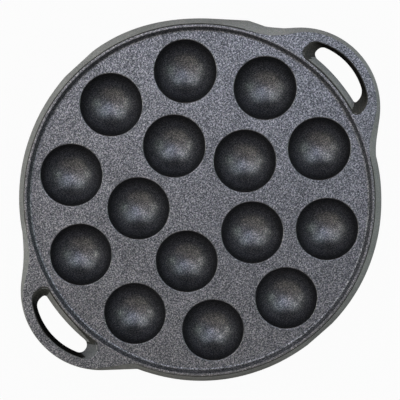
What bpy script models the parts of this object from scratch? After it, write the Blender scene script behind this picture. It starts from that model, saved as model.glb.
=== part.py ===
"""Cast iron takoyaki pan with fifteen round wells, a raised rim and two loop handles.

The real pan is one casting and nothing on it moves. It is built here from its named
forms, each a solid of its own: the cooking deck, ten outer and five inner well cups,
the rim and two handles. Touching forms keep a small gap. The pan stands on the ground
tips of its cups at z = 0, the handles lie along X, and Z is up.
"""

import math

import bmesh
import bpy

# Unit and general clearances
MM = 0.001
JOINT_GAP = 0.3 * MM        # between forms that touch
OVERRUN = 4.0 * MM          # how far a cutter runs past what it cuts
WELD = 0.01 * MM            # points of a mesh that lie closer than this are one

# Well cups
WELL_RADIUS = 20.5 * MM     # inside radius of the round well
WELL_WALL = 3.5 * MM        # iron around the well
TIP_GRIND = 0.5 * MM        # taken off the cup's lowest point to make a flat
LIP_ROUND = 0.6 * MM        # softened edge of the well's mouth
NECK_SHARE = 0.5            # where the cup passes the deck: share of the wall kept

# Pattern of the wells
INNER_COUNT = 5
OUTER_COUNT = 10
INNER_CUP_GAP = 0.9 * MM    # free space between neighbouring inner cups, under the deck
RING_CUP_GAP = 2.8 * MM     # free space between an inner cup and an outer one

# Cooking deck
DECK_THICKNESS = 4.5 * MM
DECK_EDGE = 2.0 * MM        # floor left outside the outer cups

# Raised rim
RIM_RISE = 4.5 * MM         # crest above the deck
RIM_LEAN = 1.7 * MM         # how far the inner wall leans outward over its height
RIM_FILLET = 1.2 * MM       # hollow corner between deck and inner wall
CREST_WIDTH = 1.3 * MM
CREST_ROUND = 0.35 * MM
STEP_DROP = 0.9 * MM        # small step just outside the crest
STEP_RUN = 0.4 * MM
RIM_DROP = 7.0 * MM         # lower edge below the deck's top
FLANK_RUN = 5.5 * MM        # how far the outer flank slopes outward
SKIRT_FOOT = 3.4 * MM       # width of the rim's lower edge
EDGE_ROUND = 0.9 * MM       # softened lower edge

# Stub of the casting gate, ground down, on the rim's flank
STUB_PROUD = 2.0 * MM
STUB_ANGLE = math.radians(31)
STUB_HALF_ANGLE = math.radians(8)

# Loop handles
HANDLE_REACH = 22.6 * MM    # handle beyond the rim's flank
HANDLE_RADIUS = 53.5 * MM   # outer curve of the loop
HANDLE_SWEEP = math.radians(50)   # half angle of that curve, straight from there on
HANDLE_THICKNESS = 8.5 * MM
HANDLE_FLANK = 2.9 * MM     # how far the loop's side slopes outward
BAR_WIDTH = 6.4 * MM        # flat top of the loop's bar
BAR_ROUND = 1.8 * MM        # softened underside of the bar
TOP_ROUND = 0.5 * MM        # softened edges of the flat top

# Finger slot
SLOT_HALF_LENGTH = 29.7 * MM      # at the top
SLOT_CORNER = 7.0 * MM            # at the top
SLOT_WALL_RUN = 0.7 * MM          # slope of the slot's outer wall
SLOT_END_RUN = 6.8 * MM           # slope of the slot's two ends
SLOT_LOW_CORNER_SHARE = 0.7       # corner radius at the bottom, of the one at the top

# Faceting
CUP_SIDES = 24
SPHERE_STEPS = 6            # rings of a quarter sphere
RIM_SIDES = 96
ARC_STEPS = 14              # along the handle's curve
CORNER_STEPS = 4
SMOOTH_ANGLE = math.radians(35)

# Sizes that follow from those above
CUP_RADIUS = WELL_RADIUS + WELL_WALL
DECK_TOP = CUP_RADIUS - TIP_GRIND
DECK_BOTTOM = DECK_TOP - DECK_THICKNESS
SHOULDER_DEPTH = DECK_THICKNESS + JOINT_GAP
SHOULDER_RADIUS = math.sqrt(CUP_RADIUS ** 2 - SHOULDER_DEPTH ** 2)
NECK_RADIUS = WELL_RADIUS + NECK_SHARE * (SHOULDER_RADIUS - WELL_RADIUS)
TIP_RADIUS = math.sqrt(CUP_RADIUS ** 2 - DECK_TOP ** 2)

INNER_PITCH = (2 * SHOULDER_RADIUS + INNER_CUP_GAP) / (2 * math.sin(math.pi / INNER_COUNT))
RING_STEP = 2 * SHOULDER_RADIUS + RING_CUP_GAP
OUTER_ANGLE = math.pi / OUTER_COUNT
OUTER_PITCH = INNER_PITCH * math.cos(OUTER_ANGLE) + math.sqrt(
    RING_STEP ** 2 - (INNER_PITCH * math.sin(OUTER_ANGLE)) ** 2)

FLOOR_RADIUS = OUTER_PITCH + CUP_RADIUS + DECK_EDGE
CREST_TOP = DECK_TOP + RIM_RISE
CREST_INNER = FLOOR_RADIUS + RIM_LEAN
CREST_OUTER = CREST_INNER + CREST_WIDTH
RIM_FOOT = DECK_TOP - RIM_DROP
FLANK_TOP = CREST_OUTER + STEP_RUN
RIM_OUTER = FLANK_TOP + FLANK_RUN

HANDLE_CENTRE = RIM_OUTER + HANDLE_REACH - HANDLE_RADIUS
HANDLE_BOTTOM = CREST_TOP - HANDLE_THICKNESS
SLOT_RADIUS = HANDLE_RADIUS - HANDLE_FLANK - BAR_WIDTH


def arc(centre, radius, start, end, steps):
    """Points of a circular arc, both ends included."""
    return [(centre[0] + radius * math.cos(start + (end - start) * i / steps),
             centre[1] + radius * math.sin(start + (end - start) * i / steps))
            for i in range(steps + 1)]


def finish_mesh(name, bm):
    """Turn a bmesh into an object with its faces outward and round sides smooth."""
    bmesh.ops.remove_doubles(bm, verts=bm.verts, dist=WELD)
    bmesh.ops.recalc_face_normals(bm, faces=bm.faces)
    mesh = bpy.data.meshes.new(name)
    bm.to_mesh(mesh)
    bm.free()
    mesh.shade_smooth()
    mesh.set_sharp_from_angle(angle=SMOOTH_ANGLE)
    part = bpy.data.objects.new(name, mesh)
    bpy.context.collection.objects.link(part)
    return part


def turned(name, profile, sides, closed=False):
    """Spin a profile of (radius, height) points once around Z."""
    bm = bmesh.new()
    verts = [bm.verts.new((radius, 0, height)) for radius, height in profile]
    pairs = list(zip(verts, verts[1:]))
    if closed:
        pairs.append((verts[-1], verts[0]))
    edges = [bm.edges.new(pair) for pair in pairs]
    bmesh.ops.spin(bm, geom=verts + edges, cent=(0, 0, 0), axis=(0, 0, 1),
                   angle=2 * math.pi, steps=sides)
    return finish_mesh(name, bm)


def lofted(name, levels):
    """Skin between outlines of equal length, one for each (height, outline) level."""
    bm = bmesh.new()
    rings = [[bm.verts.new((x, y, height)) for x, y in outline]
             for height, outline in levels]
    for low, high in zip(rings, rings[1:]):
        for i in range(len(low)):
            j = (i + 1) % len(low)
            bm.faces.new((low[i], low[j], high[j], high[i]))
    bm.faces.new(rings[0])
    bm.faces.new(rings[-1])
    return finish_mesh(name, bm)


def iron(name, colour, roughness):
    """Seasoned cast iron of one form, dark and nearly without colour."""
    material = bpy.data.materials.new(name)
    material.use_nodes = True
    shader = material.node_tree.nodes["Principled BSDF"]
    shader.inputs["Base Color"].default_value = (*colour, 1)
    shader.inputs["Roughness"].default_value = roughness
    shader.inputs["Metallic"].default_value = 0
    return material


def as_cutter(part):
    """Keep an object for cutting only."""
    part.hide_render = True
    part.display_type = "WIRE"
    return part


def cut(part, cutter):
    """Take the cutter's space out of the part."""
    modifier = part.modifiers.new("cut_" + cutter.name, "BOOLEAN")
    modifier.operation = "DIFFERENCE"
    modifier.solver = "EXACT"
    modifier.object = cutter


def ring_places(count, radius, first_angle):
    """Centres of wells spaced evenly on a circle."""
    angles = [first_angle + 2 * math.pi * i / count for i in range(count)]
    return [(radius * math.cos(a), radius * math.sin(a)) for a in angles]


def cup_profile():
    """Half section of a well cup around its own axis, from the well's deepest point."""
    quarter = math.pi / 2
    well = arc((0, DECK_TOP), WELL_RADIUS, -quarter, -math.asin(LIP_ROUND / WELL_RADIUS),
               SPHERE_STEPS)
    lip = [(WELL_RADIUS + LIP_ROUND, DECK_TOP)]
    neck = [(NECK_RADIUS, DECK_TOP), (NECK_RADIUS, DECK_TOP - SHOULDER_DEPTH)]
    dome = arc((0, DECK_TOP), CUP_RADIUS, -math.asin(SHOULDER_DEPTH / CUP_RADIUS),
               -math.acos(TIP_RADIUS / CUP_RADIUS), SPHERE_STEPS)
    return well + lip + neck + dome + [(0, 0)]


def rim_flank(offset):
    """Outer side of the rim's section from its lower edge to its crest, moved outward."""
    return [(RIM_OUTER - EDGE_ROUND + offset, RIM_FOOT),
            (RIM_OUTER + offset, RIM_FOOT + EDGE_ROUND),
            (FLANK_TOP + offset, CREST_TOP - STEP_DROP),
            (CREST_OUTER + offset, CREST_TOP - CREST_ROUND),
            (CREST_OUTER - CREST_ROUND + offset, CREST_TOP)]


def rim_profile():
    """Closed section of the rim: skirt, flank, crest and inner wall."""
    foot = RIM_FOOT
    inner = FLOOR_RADIUS + JOINT_GAP
    skirt = [(inner, DECK_BOTTOM), (RIM_OUTER - EDGE_ROUND - SKIRT_FOOT, foot)]
    crest = [(CREST_INNER + CREST_ROUND, CREST_TOP), (CREST_INNER, CREST_TOP - CREST_ROUND)]
    lean = RIM_LEAN * RIM_FILLET / RIM_RISE
    fillet = [(inner + lean, DECK_TOP + RIM_FILLET), (inner, DECK_TOP)]
    return skirt + rim_flank(0) + crest + fillet


def add_gate_stub(part, grow):
    """Swell the rim's flank where the casting gate was broken off and ground."""
    for vert in part.data.vertices:
        turn = math.atan2(vert.co.y, vert.co.x) - STUB_ANGLE
        radius = math.hypot(vert.co.x, vert.co.y)
        if abs(turn) >= STUB_HALF_ANGLE or radius <= CREST_OUTER + grow:
            continue
        swell = (1 + math.cos(math.pi * turn / STUB_HALF_ANGLE)) / 2
        depth = min(1, (radius - CREST_OUTER - grow) / (STEP_RUN + FLANK_RUN))
        factor = 1 + STUB_PROUD * swell * depth / radius
        vert.co.x *= factor
        vert.co.y *= factor


def handle_outline(inset):
    """Plan of a handle: its curve, and straight sides that run in under the rim."""
    radius = HANDLE_RADIUS - inset
    bow = arc((HANDLE_CENTRE, 0), radius, -HANDLE_SWEEP, HANDLE_SWEEP, ARC_STEPS)
    # Each side ends where it comes closest to the pan's axis.
    depth = HANDLE_CENTRE * math.cos(HANDLE_SWEEP) + radius
    root_x, root_y = depth * math.cos(HANDLE_SWEEP), depth * math.sin(HANDLE_SWEEP)
    return bow + [(root_x, root_y), (root_x, -root_y)]


def slot_outline(drop):
    """Plan of the finger slot; drop goes from 0 at the handle's top to 1 at its bottom."""
    half = SLOT_HALF_LENGTH - SLOT_END_RUN * drop
    corner = SLOT_CORNER * (1 - (1 - SLOT_LOW_CORNER_SHARE) * drop)
    radius = SLOT_RADIUS - SLOT_WALL_RUN * drop
    side = half - corner
    along = math.sqrt((radius - corner) ** 2 - side ** 2)
    bend = math.atan2(side, along)
    centre_x = HANDLE_CENTRE + along
    first = arc((centre_x, -side), corner, -math.pi / 2, -bend, CORNER_STEPS)
    bow = arc((HANDLE_CENTRE, 0), radius, -bend, bend, ARC_STEPS)
    last = arc((centre_x, side), corner, bend, math.pi / 2, CORNER_STEPS)
    root = math.sqrt(FLOOR_RADIUS ** 2 - half ** 2)
    return [(root, -half)] + first + bow[1:-1] + last + [(root, half)]


def build_deck(material):
    """Round plate with a hole for each cup's neck."""
    rim = [(0, DECK_BOTTOM), (FLOOR_RADIUS, DECK_BOTTOM), (FLOOR_RADIUS, DECK_TOP),
           (0, DECK_TOP)]
    deck = turned("cooking_deck", rim, RIM_SIDES)
    deck.data.materials.append(material)
    hole = NECK_RADIUS + JOINT_GAP
    low, high = DECK_BOTTOM - OVERRUN, DECK_TOP + OVERRUN
    bore = turned("neck_bore", [(0, low), (hole, low), (hole, high), (0, high)], CUP_SIDES)
    as_cutter(bore)
    for i, (x, y) in enumerate(well_places()):
        cutter = bore if i == 0 else as_cutter(bpy.data.objects.new("neck_bore", bore.data))
        if i:
            bpy.context.collection.objects.link(cutter)
        cutter.location = (x, y, 0)
        cut(deck, cutter)


def well_places():
    """Centres of all wells, the outer ring first."""
    return (ring_places(OUTER_COUNT, OUTER_PITCH, OUTER_ANGLE)
            + ring_places(INNER_COUNT, INNER_PITCH, 0))


def build_cups(material):
    """One cup for each well, all from one mesh."""
    names = [f"outer_well_{i + 1:02d}" for i in range(OUTER_COUNT)]
    names += [f"inner_well_{i + 1:02d}" for i in range(INNER_COUNT)]
    first = None
    for name, (x, y) in zip(names, well_places()):
        if first is None:
            first = cup = turned(name, cup_profile(), CUP_SIDES)
            cup.data.materials.append(material)
        else:
            cup = bpy.data.objects.new(name, first.data)
            bpy.context.collection.objects.link(cup)
        cup.location = (x, y, 0)


def build_rim(material):
    """Raised rim with its skirt, and the gate stub on its flank."""
    rim = turned("rim_ring", rim_profile(), RIM_SIDES, closed=True)
    add_gate_stub(rim, 0)
    rim.data.materials.append(material)


def build_handles(material):
    """Two loop handles, cut clear of the rim and opened by their finger slots."""
    flank = rim_flank(JOINT_GAP)
    low = (flank[0][0], RIM_FOOT - OVERRUN)
    high = (flank[-1][0], CREST_TOP + OVERRUN)
    clearance = turned("rim_clearance", [(0, low[1]), low] + flank + [high, (0, high[1])],
                       RIM_SIDES)
    add_gate_stub(clearance, JOINT_GAP)
    as_cutter(clearance)

    body_levels = [(HANDLE_BOTTOM, handle_outline(BAR_ROUND)),
                   (HANDLE_BOTTOM + BAR_ROUND, handle_outline(0)),
                   (CREST_TOP - TOP_ROUND, handle_outline(HANDLE_FLANK)),
                   (CREST_TOP, handle_outline(HANDLE_FLANK + TOP_ROUND))]
    past = OVERRUN / HANDLE_THICKNESS
    slot_levels = [(HANDLE_BOTTOM - OVERRUN, slot_outline(1)),
                   (HANDLE_BOTTOM, slot_outline(1)),
                   (CREST_TOP, slot_outline(0)),
                   (CREST_TOP + OVERRUN, slot_outline(-past))]
    for name, turn in (("handle_right", 0), ("handle_left", math.pi)):
        handle = lofted(name, body_levels)
        handle.data.materials.append(material)
        handle.rotation_euler.z = turn
        slot = as_cutter(lofted("finger_slot", slot_levels))
        slot.parent = handle
        cut(handle, clearance)
        cut(handle, slot)


def build_pan():
    """Build every form of the pan in an empty scene."""
    for leftover in list(bpy.data.objects):
        bpy.data.objects.remove(leftover)
    build_deck(iron("deck_iron", (0.085, 0.085, 0.092), 0.55))
    build_cups(iron("well_iron", (0.035, 0.035, 0.036), 0.45))
    build_rim(iron("rim_iron", (0.075, 0.075, 0.077), 0.5))
    build_handles(iron("handle_iron", (0.08, 0.08, 0.085), 0.55))


build_pan()
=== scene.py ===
"""Looks of a cast-iron takoyaki pan with fifteen wells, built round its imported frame.

The real pan is one sand casting, so every piece rides on the frame's one body. The
pieces' objects all sit at the origin and their finishes read Object coordinates, so
the grain of the iron runs on from piece to piece.
"""
import sys
import logging
import math
from contextlib import contextmanager
from dataclasses import dataclass
from enum import Enum
from typing import Callable, Iterator, Sequence

import bpy
import numpy as np
from mathutils import Matrix, Vector, noise


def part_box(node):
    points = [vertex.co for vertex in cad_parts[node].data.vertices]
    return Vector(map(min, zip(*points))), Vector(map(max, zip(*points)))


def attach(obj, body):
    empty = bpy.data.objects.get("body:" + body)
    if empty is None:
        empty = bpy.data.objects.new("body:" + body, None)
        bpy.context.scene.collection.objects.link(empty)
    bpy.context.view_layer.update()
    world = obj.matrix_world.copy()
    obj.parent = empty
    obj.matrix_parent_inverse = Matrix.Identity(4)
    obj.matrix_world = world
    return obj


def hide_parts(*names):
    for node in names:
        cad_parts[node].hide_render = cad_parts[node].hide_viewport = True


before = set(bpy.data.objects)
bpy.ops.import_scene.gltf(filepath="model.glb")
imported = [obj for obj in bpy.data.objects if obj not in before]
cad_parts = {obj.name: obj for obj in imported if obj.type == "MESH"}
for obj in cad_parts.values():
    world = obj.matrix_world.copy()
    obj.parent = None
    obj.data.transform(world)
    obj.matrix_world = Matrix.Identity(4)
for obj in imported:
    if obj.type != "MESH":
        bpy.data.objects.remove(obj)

MM = 0.001
BODY = "root"
SMOOTH_ANGLE = math.radians(32)
EVEN_WEIGHT = 80        # how much large faces rule the shading of their corners
MERGE_REACH = 1e-7      # in metres, for points that a plane's cut hits

log = logging.getLogger("takoyaki_pan")

Point = tuple[float, float]
Profile = tuple[Point, ...]     # steps of a section in millimetres, out and up from a corner
Colour = tuple[float, float, float]
Tree = bpy.types.NodeTree
Socket = bpy.types.NodeSocket


# Modelling by hand: selecting, extruding, cutting


def deselect_all() -> None:
    """Leave no object selected and none active."""
    for obj in list(bpy.context.selected_objects):
        obj.select_set(False)
    bpy.context.view_layer.objects.active = None


@contextmanager
def editing(obj: bpy.types.Object) -> Iterator[None]:
    """Hold one object in edit mode, alone in the selection.

    Args:
        obj: The mesh object to edit.
    """
    deselect_all()
    obj.select_set(True)
    bpy.context.view_layer.objects.active = obj
    bpy.ops.object.mode_set(mode="EDIT")
    yield
    bpy.ops.object.mode_set(mode="OBJECT")


def ring_stack(name: str, sides: int, levels: Sequence[Point], closed: bool) -> bpy.types.Object:
    """Model a turned form: a circle, extruded level by level and scaled to each radius.

    Args:
        name: Name of the new object.
        sides: Number of points round the axis.
        levels: Radius and height of each level, along the section.
        closed: True if the last level meets the first, False to close both ends with a face.

    Returns:
        The closed mesh object, at the origin.
    """
    deselect_all()
    radius, height = levels[0]
    bpy.ops.mesh.primitive_circle_add(vertices=sides, radius=radius, location=(0, 0, height))
    obj = bpy.context.object
    obj.name = obj.data.name = name
    bpy.ops.object.transform_apply(location=True, rotation=True, scale=True)
    with editing(obj):
        bpy.ops.mesh.select_mode(type="EDGE")
        bpy.ops.mesh.select_all(action="SELECT")
        for (radius, height), (next_radius, next_height) in zip(levels, levels[1:]):
            bpy.ops.mesh.extrude_edges_move(
                TRANSFORM_OT_translate={"value": (0, 0, next_height - height)})
            share = next_radius / radius
            bpy.ops.transform.resize(value=(share, share, 1),
                                     center_override=(0, 0, next_height))
        bpy.ops.mesh.select_all(action="DESELECT")
        bpy.ops.mesh.select_non_manifold()
        if closed:
            bpy.ops.mesh.bridge_edge_loops()
        else:
            bpy.ops.mesh.fill_holes(sides=0)
        bpy.ops.mesh.select_all(action="SELECT")
        bpy.ops.mesh.normals_make_consistent(inside=False)
    return obj


def points_of(obj: bpy.types.Object) -> np.ndarray:
    """Give a mesh's vertices as rows of x, y and z.

    Args:
        obj: The mesh object.

    Returns:
        The rows, in the order of the vertices.
    """
    flat = np.empty(len(obj.data.vertices) * 3, np.float32)
    obj.data.vertices.foreach_get("co", flat)
    return flat.reshape(-1, 3).astype(np.float64)


def set_points(obj: bpy.types.Object, points: np.ndarray) -> None:
    """Put a mesh's vertices at rows of x, y and z."""
    obj.data.vertices.foreach_set("co", points.astype(np.float32).ravel())
    obj.data.update()


def loft(name: str, outlines: Sequence[Sequence[Point]],
         heights: Sequence[float]) -> bpy.types.Object:
    """Model a form that changes its plan with height, from a stack of equal rings.

    Args:
        name: Name of the new object.
        outlines: One closed plan for each height, all with as many points.
        heights: The heights of the plans, from the top down.

    Returns:
        The closed mesh object, at the origin.
    """
    count = len(outlines[0])
    obj = ring_stack(name, count, [(1.0, height) for height in heights], closed=False)
    points = points_of(obj)
    turn = np.arctan2(points[:, 1], points[:, 0]) / (2 * math.pi) * count
    place = np.rint(turn).astype(int) % count
    level = np.argmin(np.abs(points[:, 2:3] - np.array(heights)[None, :]), axis=1)
    plans = np.array(outlines)
    points[:, :2] = plans[level, place]
    set_points(obj, points)
    with editing(obj):
        bpy.ops.mesh.select_all(action="SELECT")
        bpy.ops.mesh.normals_make_consistent(inside=False)
    return obj


def cut_away(obj: bpy.types.Object, cutter: bpy.types.Object) -> None:
    """Take a cutter's form out of an object and delete the cutter.

    Args:
        obj: The object that is cut.
        cutter: The closed mesh to take away.
    """
    deselect_all()
    obj.select_set(True)
    bpy.context.view_layer.objects.active = obj
    bite = obj.modifiers.new("cut", "BOOLEAN")
    bite.operation = "DIFFERENCE"
    bite.solver = "EXACT"
    bite.object = cutter
    bpy.ops.object.modifier_apply(modifier=bite.name)
    bpy.data.objects.remove(cutter)


def copy_of(obj: bpy.types.Object, name: str) -> bpy.types.Object:
    """Copy an object with a mesh of its own.

    Args:
        obj: The object to copy.
        name: Name of the copy.

    Returns:
        The copy, linked into the scene.
    """
    twin = obj.copy()
    twin.data = obj.data.copy()
    twin.name = twin.data.name = name
    bpy.context.scene.collection.objects.link(twin)
    return twin


def keep_side(obj: bpy.types.Object, place: Sequence[float], outward: Sequence[float]) -> None:
    """Cut an object with a plane, drop what lies beyond it and close the cut.

    Args:
        obj: The object that is cut.
        place: A point of the plane.
        outward: The plane's normal, on the side that goes.
    """
    with editing(obj):
        bpy.ops.mesh.select_all(action="SELECT")
        bpy.ops.mesh.bisect(plane_co=place, plane_no=outward, use_fill=True,
                            clear_outer=True, threshold=MERGE_REACH)


def smooth(obj: bpy.types.Object) -> None:
    """Shade an object smooth, with its real corners kept sharp and its flat faces even.

    Args:
        obj: The mesh object.
    """
    deselect_all()
    obj.select_set(True)
    bpy.context.view_layer.objects.active = obj
    bpy.ops.object.shade_smooth_by_angle(angle=SMOOTH_ANGLE)
    even = obj.modifiers.new("even", "WEIGHTED_NORMAL")
    even.weight = EVEN_WEIGHT
    even.keep_sharp = True
    bpy.ops.object.modifier_apply(modifier=even.name)


def arc(centre: Point, radius: float, start: float, end: float, steps: int) -> list[Point]:
    """Points along an arc, both ends included.

    Args:
        centre: Centre of the arc.
        radius: Its radius.
        start: First angle, in radians.
        end: Last angle, in radians.
        steps: Number of chords.

    Returns:
        The points, in order.
    """
    turns = [start + (end - start) * i / steps for i in range(steps + 1)]
    return [(centre[0] + radius * math.cos(a), centre[1] + radius * math.sin(a)) for a in turns]


def placed(profile: Profile, radius: float, height: float) -> list[Point]:
    """Put a profile at the corner of a section that it starts from."""
    return [(radius + out * MM, height + up * MM) for out, up in profile]


def ease(x: np.ndarray) -> np.ndarray:
    """Rise smoothly from 0 at 0 to 1 at 1."""
    t = np.clip(x, 0, 1)
    return t * t * (3 - 2 * t)


def soft_max(a: np.ndarray, b: np.ndarray, reach: np.ndarray) -> np.ndarray:
    """The larger of two values, rounded where they come within reach of each other."""
    near = np.clip(reach - np.abs(a - b), 0, None) / reach
    return np.maximum(a, b) + near * near * reach / 4


def waves(points: np.ndarray, size: float, seed: float) -> np.ndarray:
    """Smooth unevenness of a casting, from -1 to 1.

    Args:
        points: Rows of x, y and z.
        size: Size of one wave, in metres.
        seed: Shift of the pattern, so that two uses differ.

    Returns:
        One value for each row.
    """
    shift = Vector((seed, -seed, 2 * seed))
    return np.array([noise.noise(Vector(p) / size + shift) for p in points])


# Finishes of the iron


def mapped(tree: Tree, value: Socket, start: Point, end: Point) -> Socket:
    """Map a value from one range to another.

    Args:
        tree: The material's nodes.
        value: The value to map.
        start: The range it comes in.
        end: What the ends of that range become.

    Returns:
        The mapped value.
    """
    node = tree.nodes.new("ShaderNodeMapRange")
    node.inputs["From Min"].default_value, node.inputs["From Max"].default_value = start
    node.inputs["To Min"].default_value, node.inputs["To Max"].default_value = end
    tree.links.new(value, node.inputs["Value"])
    return node.outputs["Result"]


def calculated(tree: Tree, operation: str, first: Socket, second: Socket) -> Socket:
    """Combine two values by one of Blender's math operations.

    Args:
        tree: The material's nodes.
        operation: The operation's name in Blender.
        first: Its first value.
        second: Its second value.

    Returns:
        The result.
    """
    node = tree.nodes.new("ShaderNodeMath")
    node.operation = operation
    tree.links.new(first, node.inputs[0])
    tree.links.new(second, node.inputs[1])
    return node.outputs["Value"]


@dataclass(frozen=True)
class Pattern:
    """A noise pattern: how fine it is beside the size it is made for, and how rough."""

    fineness: float
    detail: float
    roughness: float

    def output(self, tree: Tree, place: Socket, size: float, name: str = "Fac") -> Socket:
        """Add the pattern to a material.

        Args:
            tree: The material's nodes.
            place: The coordinates it follows.
            size: The size it is made for, in metres.
            name: Which of its outputs is wanted.

        Returns:
            That output.
        """
        node = tree.nodes.new("ShaderNodeTexNoise")
        node.inputs["Scale"].default_value = self.fineness / size
        node.inputs["Detail"].default_value = self.detail
        node.inputs["Roughness"].default_value = self.roughness
        tree.links.new(place, node.inputs["Vector"])
        return node.outputs[name]


GRIT = Pattern(1.0, 3.0, 0.62)
SPECKS = Pattern(1.9, 2.0, 0.7)
SPECK_SHARE = 0.42              # of the specks in the grain, the rest is grit
CLOUDS = Pattern(1.0, 3.0, 0.55)
CLOUD_RANGE = (0.3, 0.7)        # of the clouds' noise, from the darkest to the brightest
HUES = Pattern(1.0, 2.0, 0.5)
TONE_SPREAD = 0.13              # of the grain's noise, from the middle tone to dark or bright
GLOSS_RANGE = (0.35, 0.65)      # of the grain's noise, from the roughest to the glossiest
UPRIGHT_BELOW = 0.05            # upward part of the normal up to which a face is upright


@dataclass(frozen=True)
class IronFinish:
    """Skin of the sand casting: speckled grain, uneven gloss, fine relief and painted shade on
    upright faces.
    """

    name: str
    dark: Colour                # pits of the grain
    middle: Colour
    bright: Colour              # rubbed tops of the grain
    grain: float = 0.97 * MM    # size of one grain
    contrast: float = 1.0       # how sharply dark and bright grains part
    metallic: float = 0.85
    specular: float = 0.5
    gloss_from: float = 0.36    # roughness on rubbed tops
    gloss_to: float = 0.6       # roughness in pits
    relief: float = 0.12 * MM   # height of the grain
    relief_strength: float = 0.8
    cloud: float = 14 * MM      # size of the slow changes in tone
    cloud_depth: float = 0.12
    hue: float = 0.25           # how far single grains differ in hue
    upright_shade_share: float = 1.0  # of the colour, left on upright faces as painted shade
    level_from: float = 0.6     # upward part of the normal from which a face counts as level

    def material(self) -> bpy.types.Material:
        """Build the finish as a procedural material on Object coordinates.

        Returns:
            The material.
        """
        made = bpy.data.materials.new(self.name)
        made.use_nodes = True
        tree = made.node_tree
        shader = tree.nodes["Principled BSDF"]
        shader.inputs["Metallic"].default_value = self.metallic
        shader.inputs["Specular IOR Level"].default_value = self.specular
        place = tree.nodes.new("ShaderNodeTexCoord").outputs["Object"]
        grain = self._grain(tree, place)
        colour = self._colour(tree, place, grain)
        tree.links.new(colour, shader.inputs["Base Color"])
        gloss = mapped(tree, grain, GLOSS_RANGE, (self.gloss_to, self.gloss_from))
        tree.links.new(gloss, shader.inputs["Roughness"])
        relief = tree.nodes.new("ShaderNodeBump")
        relief.inputs["Strength"].default_value = self.relief_strength
        relief.inputs["Distance"].default_value = self.relief
        tree.links.new(grain, relief.inputs["Height"])
        tree.links.new(relief.outputs["Normal"], shader.inputs["Normal"])
        return made

    def _grain(self, tree: Tree, place: Socket) -> Socket:
        """Blend grit and specks into the one value that tone, gloss and relief follow.

        Args:
            tree: The material's nodes.
            place: The coordinates it follows.

        Returns:
            The grain, low in pits and high on rubbed tops.
        """
        blend = tree.nodes.new("ShaderNodeMix")
        factor, first, second = blend.inputs[0], blend.inputs[2], blend.inputs[3]
        factor.default_value = SPECK_SHARE
        tree.links.new(GRIT.output(tree, place, self.grain), first)
        tree.links.new(SPECKS.output(tree, place, self.grain), second)
        return blend.outputs[0]

    def _colour(self, tree: Tree, place: Socket, grain: Socket) -> Socket:
        """Colour the grain, deepen it by clouds and by painted shade on upright faces, and vary
        the hue of single grains.

        Args:
            tree: The material's nodes.
            place: The coordinates it follows.
            grain: The grain.

        Returns:
            The colour of the surface.
        """
        clouds = CLOUDS.output(tree, place, self.cloud)
        shade = mapped(tree, clouds, CLOUD_RANGE, (1 - self.cloud_depth, 1 + self.cloud_depth))
        tint = tree.nodes.new("ShaderNodeVectorMath")
        tint.operation = "SCALE"
        tree.links.new(self._tone(tree, grain), tint.inputs[0])
        tree.links.new(calculated(tree, "MULTIPLY", shade, self._upright_shade(tree)),
                       tint.inputs["Scale"])
        hues = tree.nodes.new("ShaderNodeVectorMath")
        hues.operation = "MULTIPLY_ADD"
        tree.links.new(HUES.output(tree, place, self.grain, "Color"), hues.inputs[0])
        hues.inputs[1].default_value = (self.hue,) * 3
        hues.inputs[2].default_value = (1 - self.hue / 2,) * 3
        cast = tree.nodes.new("ShaderNodeVectorMath")
        cast.operation = "MULTIPLY"
        tree.links.new(tint.outputs["Vector"], cast.inputs[0])
        tree.links.new(hues.outputs["Vector"], cast.inputs[1])
        return cast.outputs["Vector"]

    def _tone(self, tree: Tree, grain: Socket) -> Socket:
        """Turn the grain into the finish's dark, middle and bright colours.

        Args:
            tree: The material's nodes.
            grain: The grain.

        Returns:
            The colour of each grain.
        """
        tone = tree.nodes.new("ShaderNodeValToRGB")
        ramp = tone.color_ramp
        ramp.interpolation = "EASE"
        half = TONE_SPREAD / self.contrast
        stops = ((0.5 - half, self.dark), (0.5, self.middle), (0.5 + half, self.bright))
        ramp.elements[0].position = stops[0][0]
        ramp.elements[1].position = stops[2][0]
        ramp.elements.new(stops[1][0])
        for stop, (_, colour) in zip(ramp.elements, stops):
            stop.color = (*colour, 1)
        tree.links.new(grain, tone.inputs["Fac"])
        return tone.outputs["Color"]

    def _upright_shade(self, tree: Tree) -> Socket:
        """Give 1 on level faces, down to the upright share on upright faces, which paints shade
        on steep faces.

        Args:
            tree: The material's nodes.

        Returns:
            The share of the colour that is left.
        """
        facing = tree.nodes.new("ShaderNodeSeparateXYZ")
        lean = tree.nodes.new("ShaderNodeTexCoord").outputs["Normal"]
        tree.links.new(lean, facing.inputs["Vector"])
        return mapped(tree, facing.outputs["Z"], (UPRIGHT_BELOW, self.level_from),
                      (self.upright_shade_share, 1))


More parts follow.
